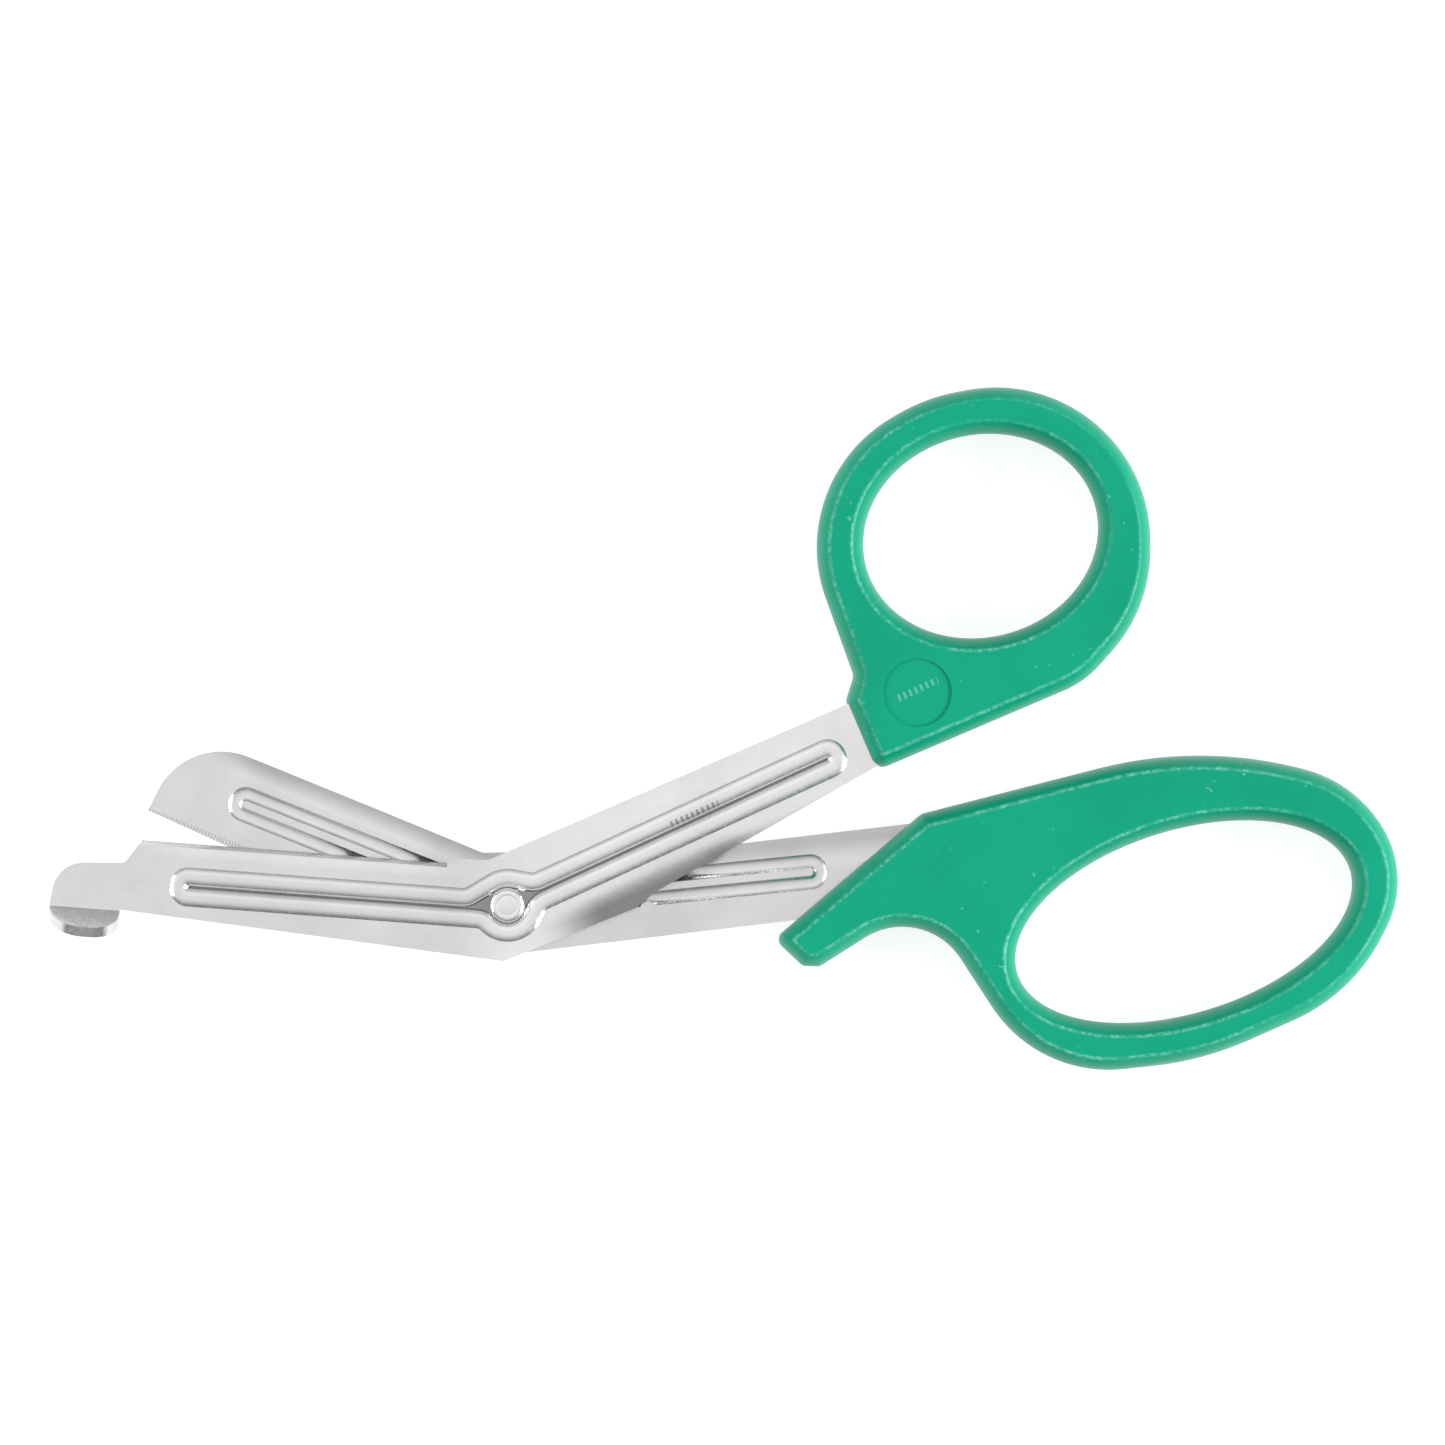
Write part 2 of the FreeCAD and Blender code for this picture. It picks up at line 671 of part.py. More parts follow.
pivot_rivet = new_body("pivot_rivet")
profile = new_sketch(pivot_rivet, "rivet_profile", "XZ_Plane")
head_top = f"{FRONT_HIGH} + Sizes.rivet_head_high"
tail_end = f"{WASHER_LOW} - Sizes.rivet_tail_high"
add_outline(profile, [
    ("0", tail_end, None),
    ("Sizes.rivet_tail_radius", tail_end, "Sizes.rivet_tail_round"),
    ("Sizes.rivet_tail_radius", WASHER_LOW, None),
    ("Sizes.rivet_radius", WASHER_LOW, None),
    ("Sizes.rivet_radius", FRONT_HIGH, None),
    ("Sizes.rivet_head_radius", FRONT_HIGH, None),
    ("Sizes.rivet_head_radius", head_top, "Sizes.rivet_head_round"),
    ("0", head_top, None),
])
turned = pivot_rivet.newObject("PartDesign::Revolution", "rivet_turned")
turned.Profile = profile
turned.ReferenceAxis = (profile, ["V_Axis"])
turned.Angle = 360
doc.recompute()

rivet_washer = new_body("rivet_washer")
ring = new_sketch(rivet_washer, "washer_outline", offset=WASHER_LOW)
add_circle(ring, "0", "0", "Sizes.washer_radius")
add_circle(ring, "0", "0", "Sizes.rivet_radius")
pad(rivet_washer, "washer_ring", ring, "Sizes.washer_thick")


# ---------------------------------------------------------------- moulded handles

def handle_outline(sketch, half, handle, ring, tail):
    """The loop's corners follow the hole, and the tail's follow the end of the shank."""
    shank = cell(f"{half}_shank_long")
    centre_along = f"{shank} + {cell(handle + '_hole_along')}"
    centre_across = cell(f"{handle}_hole_across")
    half_long = cell(f"{handle}_hole_long")
    half_wide = cell(f"{handle}_hole_wide")
    corners = []
    for name, side_along, side_across, *offsets in ring:
        key = f"{handle}_{name}"
        corners.append((
            f"{centre_along} + {side_along} * {half_long} + {cell(key + '_along')}",
            f"{centre_across} + {side_across} * {half_wide} + {cell(key + '_across')}",
            cell(f"{key}_round"),
        ))
    for name, *offsets in tail:
        key = f"{handle}_{name}"
        corners.append((
            f"{shank} + {cell(key + '_along')}",
            cell(f"{key}_across"),
            cell(f"{key}_round"),
        ))
    add_outline(sketch, corners)


def mould_handle(name, half, handle, ring, tail, slot_start, slot_low):
    """A handle moulded round a tang: the outline, the loop's hole, softened rims, and a
    slot of exactly the tang's shape whose lock holes stay filled with plastic."""
    body = new_body(name)
    underside = "-Sizes.handle_thick / 2"
    outline = new_sketch(body, f"{handle}_outline", offset=underside)
    handle_outline(outline, half, handle, ring, tail)
    pad(body, f"{handle}_slab", outline, "Sizes.handle_thick")
    hole = new_sketch(body, f"{handle}_hole", offset=underside)
    add_ellipse(
        hole,
        f"({cell(half + '_shank_long')} + {cell(handle + '_hole_along')})",
        cell(f"{handle}_hole_across"),
        cell(f"{handle}_hole_long"),
        cell(f"{handle}_hole_wide"),
        cell(f"{handle}_hole_tilt"),
    )
    pocket(body, f"{handle}_hole_cut", hole, "Sizes.handle_thick")
    base = body.Tip
    rims = body.newObject("PartDesign::Chamfer", f"{handle}_rims")
    reach = value("Sizes.handle_thick / 2")
    rims.Base = (base, flat_faces(base.Shape, (-reach, reach)))
    rims.setExpression("Size", "Sizes.handle_bevel")
    doc.recompute()
    slot = new_sketch(body, f"{handle}_slot", offset=slot_low)
    add_outline(slot, slot_start + tang_corners(half, handle))
    tang_locks(slot, half, handle)
    pocket(body, f"{handle}_slot_cut", slot, "Sizes.steel_thick")
    return body


thumb_handle = mould_handle(
    "thumb_handle", "front", "thumb", THUMB_RING, THUMB_TAIL,
    [
        ("Sizes.front_root_along", "Sizes.front_root_inner", None),
        ("Sizes.front_jog_end", "-Sizes.front_jog_outer", None),
    ],
    FRONT_LOW,
)
badge = new_sketch(
    thumb_handle, "badge_outline", offset="Sizes.handle_thick / 2 - Sizes.badge_deep"
)
add_circle(
    badge, "Sizes.front_shank_long + Sizes.badge_along", "Sizes.badge_across",
    "Sizes.badge_radius",
)
pocket(thumb_handle, "badge_cut", badge, "Sizes.badge_deep")

finger_handle = mould_handle(
    "finger_handle", "rear", "finger", FINGER_RING, FINGER_TAIL,
    [
        ("Sizes.rear_waist_along", "Sizes.rear_waist_inner", None),
        (*on_blade("rear", "0", "Sizes.rear_heel_across"), None),
    ],
    REAR_LOW,
)


# ---------------------------------------------------------------- place, check, write

pieces = [
    (front_blade, "rest_angle_front"),
    (rear_blade, "rest_angle_rear"),
    (pivot_rivet, "rest_angle_front"),
    (rivet_washer, "rest_angle_front"),
    (thumb_handle, "rest_angle_front"),
    (finger_handle, "rest_angle_rear"),
]
for body, angle in pieces:
    body.setExpression(
        "Placement",
        "placement(vector(Sizes.shift_x; Sizes.shift_y; Sizes.shift_z); "
        f"rotation({cell(angle)}; 0; 0))",
    )
doc.recompute()

# The origin is the middle of the footprint, on the table that the handles lie on.
whole = FreeCAD.BoundBox()
for body, angle in pieces:
    whole.add(body.Shape.optimalBoundingBox())
shift = vector(-whole.Center.x, -whole.Center.y, -whole.ZMin)
for alias, size in (("shift_x", shift.x), ("shift_y", shift.y), ("shift_z", shift.z)):
    sheet.set(alias, str(size))
doc.recompute()

for item in doc.Objects:
    if "Invalid" in item.State or "Error" in item.State:
        raise RuntimeError(f"{item.Name} failed: {item.State}")
for body, angle in pieces:
    if body.Shape.isNull() or not body.Shape.isValid() or len(body.Shape.Solids) != 1:
        raise RuntimeError(f"{body.Label} isn't one sound solid")

os.makedirs("parts", exist_ok=True)
for body, angle in pieces:
    body.Shape.exportStep(f"parts/{body.Label}.step")
    print(f"{body.Label}: {body.Shape.Volume:.1f} mm3")
print(f"overall: {whole.XLength:.1f} x {whole.YLength:.1f} x {whole.ZLength:.1f} mm")
print(f"rivet axis: {shift.x:.3f}, {shift.y:.3f}; sliding plane at {shift.z:.3f} mm")
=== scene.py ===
# %% [markdown]
# # Bandage shears
#
# These shears have two halves stamped from stainless sheet, crossed on one rivet, and each
# half is set into a moulded green loop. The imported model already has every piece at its
# real size and place. Here it is the frame, and nothing in it is moved.
#
# The lesson shows one idea several times: a soft, hand-made looking surface can be grown
# from a plain outline by small insets. The outline always comes from the frame, so a piece
# can't end up larger than the part it stands for.

# %% Load the frame
import json
import math

import bpy
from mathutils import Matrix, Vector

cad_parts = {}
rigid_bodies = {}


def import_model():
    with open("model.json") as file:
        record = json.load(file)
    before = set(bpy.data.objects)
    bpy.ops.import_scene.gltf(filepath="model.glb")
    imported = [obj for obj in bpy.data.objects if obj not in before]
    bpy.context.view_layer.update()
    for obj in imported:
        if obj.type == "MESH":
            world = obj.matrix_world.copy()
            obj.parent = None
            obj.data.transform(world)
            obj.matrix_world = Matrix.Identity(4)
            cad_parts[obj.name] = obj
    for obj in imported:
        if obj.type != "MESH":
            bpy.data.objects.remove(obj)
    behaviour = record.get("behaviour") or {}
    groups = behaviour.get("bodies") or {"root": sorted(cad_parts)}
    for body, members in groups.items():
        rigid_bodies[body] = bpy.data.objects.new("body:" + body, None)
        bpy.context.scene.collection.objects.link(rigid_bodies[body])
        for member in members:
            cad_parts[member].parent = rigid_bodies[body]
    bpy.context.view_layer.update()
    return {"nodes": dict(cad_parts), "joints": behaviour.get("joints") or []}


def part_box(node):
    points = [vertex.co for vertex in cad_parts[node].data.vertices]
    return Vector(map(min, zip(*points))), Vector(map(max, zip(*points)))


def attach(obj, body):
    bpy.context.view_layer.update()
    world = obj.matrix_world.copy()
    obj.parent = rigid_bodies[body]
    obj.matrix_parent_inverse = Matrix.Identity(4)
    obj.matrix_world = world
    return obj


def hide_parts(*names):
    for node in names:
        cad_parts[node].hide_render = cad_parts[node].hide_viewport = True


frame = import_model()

MM = 0.001

# %% [markdown]
# Blender's operators act on whatever is selected, and loading the frame leaves its nodes
# selected. These small helpers always clear the selection first, and then pick one piece.
# A node's mesh arrives as loose triangles, so a copy is merged before it is shaped.


# %% Helpers for picking and copying
SAME_POINT = 0.001 * MM


def pick(piece):
    """Selects one piece, and nothing else, in object mode."""
    bpy.ops.object.select_all(action="DESELECT")
    piece.select_set(True)
    bpy.context.view_layer.objects.active = piece


def merged_copy(node, name):
    """A new piece with the shape of a node, its loose triangles joined up."""
    piece = bpy.data.objects.new(name, frame["nodes"][node].data.copy())
    piece.data.name = name
    piece.data.materials.clear()
    bpy.context.scene.collection.objects.link(piece)
    pick(piece)
    bpy.ops.object.mode_set(mode="EDIT")
    bpy.ops.mesh.select_all(action="SELECT")
    bpy.ops.mesh.remove_doubles(threshold=SAME_POINT)
    bpy.ops.mesh.customdata_custom_splitnormals_clear()
    bpy.ops.object.mode_set(mode="OBJECT")
    return piece


def select_faces(piece, wanted):
    """Leaves edit mode's selection on the faces whose corners pass the test."""
    bpy.ops.mesh.select_mode(type="FACE")
    bpy.ops.mesh.select_all(action="DESELECT")
    bpy.ops.object.mode_set(mode="OBJECT")
    for face in piece.data.polygons:
        if not face.hide:
            face.select = wanted([piece.data.vertices[i].co for i in face.vertices])
    bpy.ops.object.mode_set(mode="EDIT")


def step_in(inwards, upwards, merge):
    """Insets the selected faces, lifts them, and joins points that have crowded together.
    Joining keeps tight corners from crossing over as they shrink."""
    bpy.ops.mesh.inset(thickness=inwards, use_even_offset=True, use_boundary=True)
    bpy.ops.transform.translate(value=(0, 0, upwards))
    bpy.ops.mesh.remove_doubles(threshold=merge)


def finish_smooth(piece, angle):
    """Points every face outwards and smooths all edges flatter than the angle in degrees."""
    bpy.ops.object.mode_set(mode="EDIT")
    bpy.ops.mesh.select_all(action="SELECT")
    bpy.ops.mesh.normals_make_consistent(inside=False)
    bpy.ops.object.mode_set(mode="OBJECT")
    bpy.ops.object.shade_smooth_by_angle(angle=math.radians(angle))
    print(piece.name, "has", len(piece.data.polygons), "faces")


# %% [markdown]
# ## The moulded loops
#
# Each loop is moulded in two halves of a tool that meet on the middle plane. From there the
# wall leans in, rolls over, and ends at a crisp crease around a level band. It could be
# made with a bevel on the frame's rim, but the tight corners near the steel are smaller
# than the roll, and a bevel would fold over itself there. So the outline on the middle
# plane is cut out of a copy, filled, and inset a little at a time.

# %% The roll of the wall
handle_low, handle_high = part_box("thumb_handle")
PARTING = (handle_low.z + handle_high.z) / 2
HALF_THICK = (handle_high.z - handle_low.z) / 2
FLANK_WIDE = 1.75 * MM
FLANK_END = math.radians(62)
FLANK_STEPS = 12
SEAM_IN, SEAM_UP = 0.05 * MM, 0.12 * MM
CREASE_SOFT = 0.10 * MM
CREASE_DROP = 0.6


def flank_profile():
    """(in, up) from the parting line for each step: a quarter oval stopped short.
    The seam is its first step, and the oval takes over once it leans in further."""
    run = (FLANK_WIDE - CREASE_SOFT) / (1 - math.cos(FLANK_END))
    rise = (HALF_THICK - CREASE_DROP * CREASE_SOFT) / math.sin(FLANK_END)
    stops = [(SEAM_IN, SEAM_UP)]
    for step in range(1, FLANK_STEPS + 1):
        angle = FLANK_END * step / FLANK_STEPS
        stop = (run * (1 - math.cos(angle)), rise * math.sin(angle))
        if stop[0] > SEAM_IN:
            stops.append(stop)
    return stops


print("wall stops in mm:", [(round(a / MM, 2), round(b / MM, 2)) for a, b in flank_profile()])


# %% [markdown]
# The crease is pale, partly scuffed where a hand rubs and partly a painted highlight along
# its edge. The paleness has to follow the crease round both edges of the band, so the two
# rings of points on it are put in a group while they are still selected, and the group
# becomes an attribute that the plastic reads.


# %% Mould both loops
CREASE_FADE = 0.22 * MM
CROWDED_OUTLINE = 0.06 * MM
CROWDED_RING = 0.10 * MM
MIRROR_JOIN = 0.002 * MM
LOOP_SMOOTH = 30


def mould_loop(node, name):
    """A loop grown from its own outline on the middle plane, and mirrored downwards."""
    piece = merged_copy(node, name)
    bpy.ops.object.mode_set(mode="EDIT")
    bpy.ops.mesh.select_all(action="SELECT")
    bpy.ops.mesh.bisect(
        plane_co=(0, 0, PARTING), plane_no=(0, 0, 1), clear_inner=True, clear_outer=True
    )
    bpy.ops.mesh.select_all(action="SELECT")
    bpy.ops.mesh.remove_doubles(threshold=CROWDED_OUTLINE)
    bpy.ops.mesh.fill()
    bpy.ops.mesh.normals_make_consistent(inside=False)
    bpy.ops.mesh.select_mode(type="FACE")
    bpy.ops.mesh.select_all(action="SELECT")
    before = (0.0, 0.0)
    for stop in flank_profile():
        step_in(stop[0] - before[0], stop[1] - before[1], CROWDED_RING)
        before = stop
    crease = piece.vertex_groups.new(name="crease_points")
    bpy.ops.object.vertex_group_assign()
    step_in(2 * CREASE_SOFT, HALF_THICK - before[1], CROWDED_RING)
    bpy.ops.object.vertex_group_assign()
    step_in(CREASE_FADE, 0, CROWDED_RING)
    bpy.ops.object.vertex_group_remove_from()
    bpy.ops.mesh.select_all(action="SELECT")
    bpy.ops.mesh.duplicate()
    bpy.ops.transform.resize(value=(1, 1, -1), center_override=(0, 0, PARTING))
    bpy.ops.mesh.select_all(action="SELECT")
    bpy.ops.mesh.remove_doubles(threshold=MIRROR_JOIN)
    bpy.ops.object.mode_set(mode="OBJECT")
    # The crease attribute marks where the plastic is painted pale: partly wear, partly a
    # painted highlight.
    wear_and_highlight = piece.data.attributes.new("crease", "FLOAT", "POINT")
    for vertex, share in zip(piece.data.vertices, wear_and_highlight.data):
        share.value = float(len(vertex.groups) > 0)
    piece.vertex_groups.remove(crease)
    finish_smooth(piece, LOOP_SMOOTH)
    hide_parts(node)
    return piece


thumb_loop = mould_loop("thumb_handle", "thumb_loop")
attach(thumb_loop, "front_half")
finger_loop = mould_loop("finger_handle", "finger_loop")
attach(finger_loop, "rear_half")

# %% [markdown]
# ## The stamped halves
#
# The press raises one long bead on each half, and leaves a groove behind it. Sheet steel
# is drawn over the die in an easy dome, which is steepest at its foot. The frame has the
# bead's outline at that foot. The bead's faces are taken off a copy, the gap is filled
# level, and the fill is inset and lifted along the dome, so that the new bead is welded to
# the plate.

# %% The dome of a pressed bead
PRESS_STEPS = 9
DOME_POWER = 2.2
SLACK = 0.01 * MM
CROWDED_PRESS = 0.03 * MM


def soft_rise(share):
    """How much of the height is reached at a share of the width: steep, then easy."""
    return 1 - (1 - share) ** DOME_POWER


def press_again(piece, plate_z, hard, soft, wide):
    """Swaps the hard press that leaves one face of the plate for a soft one. hard is the
    height that the frame gives it, and soft is the new one, no larger."""
    crest_z = plate_z + hard
    low, high = min(plate_z, crest_z) - SLACK, max(plate_z, crest_z) + SLACK
    pick(piece)
    bpy.ops.object.mode_set(mode="EDIT")
    select_faces(piece, lambda corners: (
        all(low < c.z < high for c in corners)
        and any(abs(c.z - plate_z) > SLACK for c in corners)
    ))
    bpy.ops.mesh.hide(unselected=True)
    select_faces(piece, lambda corners: all(abs(c.z - crest_z) < SLACK for c in corners))
    bpy.ops.mesh.select_linked()
    bpy.ops.mesh.delete(type="FACE")
    bpy.ops.mesh.reveal(select=False)
    bpy.ops.mesh.select_mode(type="EDGE")
    bpy.ops.mesh.select_all(action="DESELECT")
    bpy.ops.mesh.select_non_manifold(
        extend=False, use_wire=False, use_boundary=True, use_multi_face=False,
        use_non_contiguous=False, use_verts=False,
    )
    rim = piece.data.total_edge_sel
    bpy.ops.mesh.fill()
    bpy.ops.mesh.select_mode(type="FACE")
    for step in range(PRESS_STEPS):
        gained = soft_rise((step + 1) / PRESS_STEPS) - soft_rise(step / PRESS_STEPS)
        step_in(wide / PRESS_STEPS, soft * gained, CROWDED_PRESS)
    bpy.ops.object.mode_set(mode="OBJECT")
    print(piece.name, "pressed by", round(soft / MM, 2), "mm from a rim of", rim, "edges")


# %% [markdown]
# The bead is a closed loop, so it leaves a long narrow strip of plate inside it. The strip
# also holds the rivet's hole, and that is how it is found among the other level faces.

# %% The valley between the bead's two sides
PIVOT = frame["joints"][0]["pos_m"]
RIVET_SHANK = 1.6 * MM
NEAR_RIVET = 1.2
CROWDED_VALLEY = 0.02 * MM


def fold_valley(piece, plate_z, rise, side, depth):
    """Folds the strip of plate that the bead runs round, which holds the rivet's hole.

    The press drags the strip up with the bead by rise, and leaves a crease down its middle
    that is side in from its rim and depth deep. The crease gets a mask, which the steel
    reads to paint shade into it.
    """
    pick(piece)
    bpy.ops.object.mode_set(mode="EDIT")
    select_faces(piece, lambda corners: all(abs(c.z - plate_z) < SLACK for c in corners))
    bpy.ops.mesh.hide(unselected=True)
    select_faces(piece, lambda corners: any(
        math.dist(c.xy, PIVOT[:2]) < RIVET_SHANK * NEAR_RIVET for c in corners
    ))
    bpy.ops.mesh.select_linked()
    bpy.ops.mesh.reveal(select=False)
    bpy.ops.transform.translate(value=(0, 0, rise))
    step_in(side, -depth, CROWDED_VALLEY)
    group = piece.vertex_groups.new(name="valley_points")
    bpy.ops.object.vertex_group_assign()
    bpy.ops.object.mode_set(mode="OBJECT")
    mask = piece.data.attributes.new("valley", "FLOAT", "POINT")
    for vertex, share in zip(piece.data.vertices, mask.data):
        share.value = float(any(g.group == group.index for g in vertex.groups))
    piece.vertex_groups.remove(group)


# %% [markdown]
# The two plates slide past each other on the middle plane, with a little play between them.
# The bead stands on each plate's outer face and the groove sinks into its sliding face, so
# the heights of all four faces follow from the thickness of the sheet and that play.

# %% Press both halves
SHEET = 1.6 * MM
PLAY = 0.25 * MM
BEAD_HIGH = 0.75 * MM
BEAD_SOFT_HIGH = 0.46 * MM
BEAD_WALL = 1.1 * MM
VALLEY_RISE = 0.20 * MM
VALLEY_SIDE = 0.22 * MM
VALLEY_DEEP = 0.30 * MM
GROOVE_DEEP = 0.6 * MM
GROOVE_SOFT_DEEP = 0.42 * MM
GROOVE_WALL = 0.9 * MM
STEEL_SMOOTH = 28


def press_half(node, name, outwards, body):
    """One stamped half. outwards is +1 if its outer face looks up and -1 if down."""
    piece = merged_copy(node, name)
    sliding = PARTING + outwards * PLAY / 2
    outer = sliding + outwards * SHEET
    press_again(piece, outer, outwards * BEAD_HIGH, outwards * BEAD_SOFT_HIGH, BEAD_WALL)
    fold_valley(
        piece, outer, outwards * VALLEY_RISE, VALLEY_SIDE, outwards * VALLEY_DEEP
    )
    press_again(
        piece, sliding, outwards * GROOVE_DEEP, outwards * GROOVE_SOFT_DEEP, GROOVE_WALL
    )
    finish_smooth(piece, STEEL_SMOOTH)
    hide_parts(node)
    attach(piece, body)
    return piece


front_steel = press_half("front_blade", "front_steel", +1, "front_half")
rear_steel = press_half("rear_blade", "rear_steel", -1, "rear_half")

# %% [markdown]
# ## The rivet
#
# The rivet is turned on a lathe and its tail is upset over a washer. A spin of a profile
# would do, but here it grows from a short cone: its top face is extruded, widened or
# narrowed about the rivet's axis, and lifted, once for each step of the profile.


# %% Grow a turned piece
AROUND = 72
TURNED_SMOOTH = 32
LEVEL_SLACK = 0.0001 * MM


def turned(name, stops):
    """A turned piece about the rivet's axis, from (radius, height) stops going up."""
    bpy.ops.object.select_all(action="DESELECT")
    (radius, low), (next_radius, high) = stops[:2]
    bpy.ops.mesh.primitive_cone_add(
        vertices=AROUND, radius1=radius, radius2=next_radius, depth=high - low,
        location=(PIVOT[0], PIVOT[1], (low + high) / 2),
    )
    piece = bpy.context.object
    piece.name = name
    piece.data.name = name
    bpy.ops.object.transform_apply(location=True, rotation=True, scale=True)
    bpy.ops.object.mode_set(mode="EDIT")
    select_faces(piece, lambda corners: all(abs(c.z - high) < LEVEL_SLACK for c in corners))
    radius, level = next_radius, high
    for new_radius, new_level in stops[2:]:
        ratio = new_radius / radius
        bpy.ops.mesh.extrude_region_move()
        bpy.ops.transform.resize(value=(ratio, ratio, 1), center_override=PIVOT)
        bpy.ops.transform.translate(value=(0, 0, new_level - level))
        radius, level = new_radius, new_level
    bpy.ops.object.mode_set(mode="OBJECT")
    finish_smooth(piece, TURNED_SMOOTH)
    return piece


def dome(radius, base, rise, rounding, steps, upwards):
    """Stops of a low button: a straight side, then a quarter turn on to the flat.
    upwards is +1 for a button that faces up and -1 for one that faces down."""
    stops = [(radius, base)]
    for step in range(steps + 1):
        angle = math.radians(90) * step / steps
        across = radius - rounding * (1 - math.cos(angle))
        above = rise - rounding * (1 - math.sin(angle))
        stops.append((across, base + upwards * above))
    return stops


# %% [markdown]
# The head has a rounded shoulder, then a fine ring turned into its flat top. It starts a
# little below the plate's outer face, so that no gap shows where the valley dips under it.

# %% Turn the rivet
HEAD_RADIUS, HEAD_HIGH, HEAD_ROUND, HEAD_STEPS = 2.48 * MM, 1.15 * MM, 0.8 * MM, 8
TAIL_RADIUS, TAIL_ROUND, TAIL_STEPS = 2.1 * MM, 0.5 * MM, 6
HEAD_SUNK = 0.12 * MM
HEAD_BASE = PARTING + PLAY / 2 + SHEET - HEAD_SUNK
rivet_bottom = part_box("pivot_rivet")[0].z
washer_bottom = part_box("rivet_washer")[0].z
tail_high = washer_bottom - rivet_bottom
tail = dome(TAIL_RADIUS, washer_bottom, tail_high, TAIL_ROUND, TAIL_STEPS, -1)
shank = [(RIVET_SHANK, washer_bottom), (RIVET_SHANK, HEAD_BASE)]
head = dome(HEAD_RADIUS, HEAD_BASE, HEAD_HIGH, HEAD_ROUND, HEAD_STEPS, +1)
flat_radius, flat_high = head[-1]
ring = [
    (flat_radius - 0.12 * MM, flat_high - 0.015 * MM),
    (flat_radius - 0.30 * MM, flat_high - 0.09 * MM),
    (flat_radius - 0.42 * MM, flat_high - 0.05 * MM),
    (0.5 * MM, flat_high),
]
rivet = turned("rivet", tail[::-1] + shank + head + ring)
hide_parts("pivot_rivet")
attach(rivet, "front_half")

# %% [markdown]
# ## The badge
#
# A round badge lies beside the thumb hole. It is a shallow disc sunk in the level band, so a
# short round cutter is taken off the loop. Its place is measured along and across the
# front shank, which is turned from the table's X axis.

# %% Sink the badge
SHANK_TURN = math.radians(24.7)
BADGE_ALONG, BADGE_ACROSS = 64.9 * MM, 3.1 * MM
BADGE_RADIUS, BADGE_DEEP = 4.8 * MM, 0.22 * MM
BADGE_AROUND = 96
CUTTER_HIGH = 2 * MM
badge_x = PIVOT[0] + BADGE_ALONG * math.cos(SHANK_TURN) - BADGE_ACROSS * math.sin(SHANK_TURN)
badge_y = PIVOT[1] + BADGE_ALONG * math.sin(SHANK_TURN) + BADGE_ACROSS * math.cos(SHANK_TURN)
bpy.ops.object.select_all(action="DESELECT")
bpy.ops.mesh.primitive_cylinder_add(
    vertices=BADGE_AROUND, radius=BADGE_RADIUS, depth=CUTTER_HIGH,
    location=(badge_x, badge_y, handle_high.z - BADGE_DEEP + CUTTER_HIGH / 2),
)
cutter = bpy.context.object
pick(thumb_loop)
cut = thumb_loop.modifiers.new("badge", "BOOLEAN")
cut.object = cutter
cut.operation = "DIFFERENCE"
bpy.ops.object.modifier_apply(modifier="badge")
bpy.data.objects.remove(cutter)
finish_smooth(thumb_loop, LOOP_SMOOTH)
print("badge centre in mm:", round(badge_x / MM, 2), round(badge_y / MM, 2))

# %% [markdown]
# ## Materials
#
# A node tree soon fills with the same few nodes, so a small bench adds each in one line.
# Noise scales are per metre, so a scale of 1000 gives grain about a millimetre across. A
# value that is even all over goes straight on the shader's socket.


# %% A bench for node trees
class Bench:
    """A node tree of a material or a group, with short ways to add to it."""

    def __init__(self, tree):
        self.tree = tree

    def add(self, kind, feeds, **settings):
        """A new node. feeds gives its inputs, each a socket to link or a plain value."""
        node = self.tree.nodes.new("ShaderNode" + kind)
        for name, setting in settings.items():
            setattr(node, name, setting)
        self.feed(node, feeds)
        return node

    def feed(self, node, feeds):
        for key, source in feeds.items():
            if isinstance(source, bpy.types.NodeSocket):
                self.link(source, node.inputs[key])
            else:
                node.inputs[key].default_value = source

    def link(self, source, socket):
        self.tree.links.new(source, socket)

    def maths(self, operation, first, second=0.0):
        return self.add("Math", {0: first, 1: second}, operation=operation).outputs[0]

    def noise(self, where, scale, detail=3.0, rough=0.5):
        feeds = {"Vector": where, "Scale": scale, "Detail": detail, "Roughness": rough}
        return self.add("TexNoise", feeds).outputs["Fac"]

    def ramp(self, source, start, end, low, high):
        """A smooth change from low to high as the source goes from start to end."""
        feeds = {"Value": source, "From Min": start, "From Max": end, "To Min": low,
                 "To Max": high}
        return self.add("MapRange", feeds, interpolation_type="SMOOTHSTEP").outputs[0]

    def window(self, source, start, end, soft):
        """1 while the source is between start and end, 0 beyond them."""
        rising = self.ramp(source, start - soft, start + soft, 0.0, 1.0)
        falling = self.ramp(source, end - soft, end + soft, 1.0, 0.0)
        return self.maths("MULTIPLY", rising, falling)

    def blend(self, mask, low, high):
        """A colour that goes from low to high with the mask."""
        feeds = {"Factor": mask, 6: low, 7: high}
        return self.add("Mix", feeds, data_type="RGBA").outputs[2]

    def group(self, group, feeds):
        """The outputs of one use of a shared group."""
        node = self.add("Group", {}, node_tree=group)
        self.feed(node, feeds)
        return node.outputs

    def relief(self, height, shader):
        """Lets the shader's surface rise and fall by a height in millimetres."""
        bump = self.add("Bump", {"Height": height, "Strength": 1.0, "Distance": MM})
        self.link(bump.outputs["Normal"], shader.inputs["Normal"])


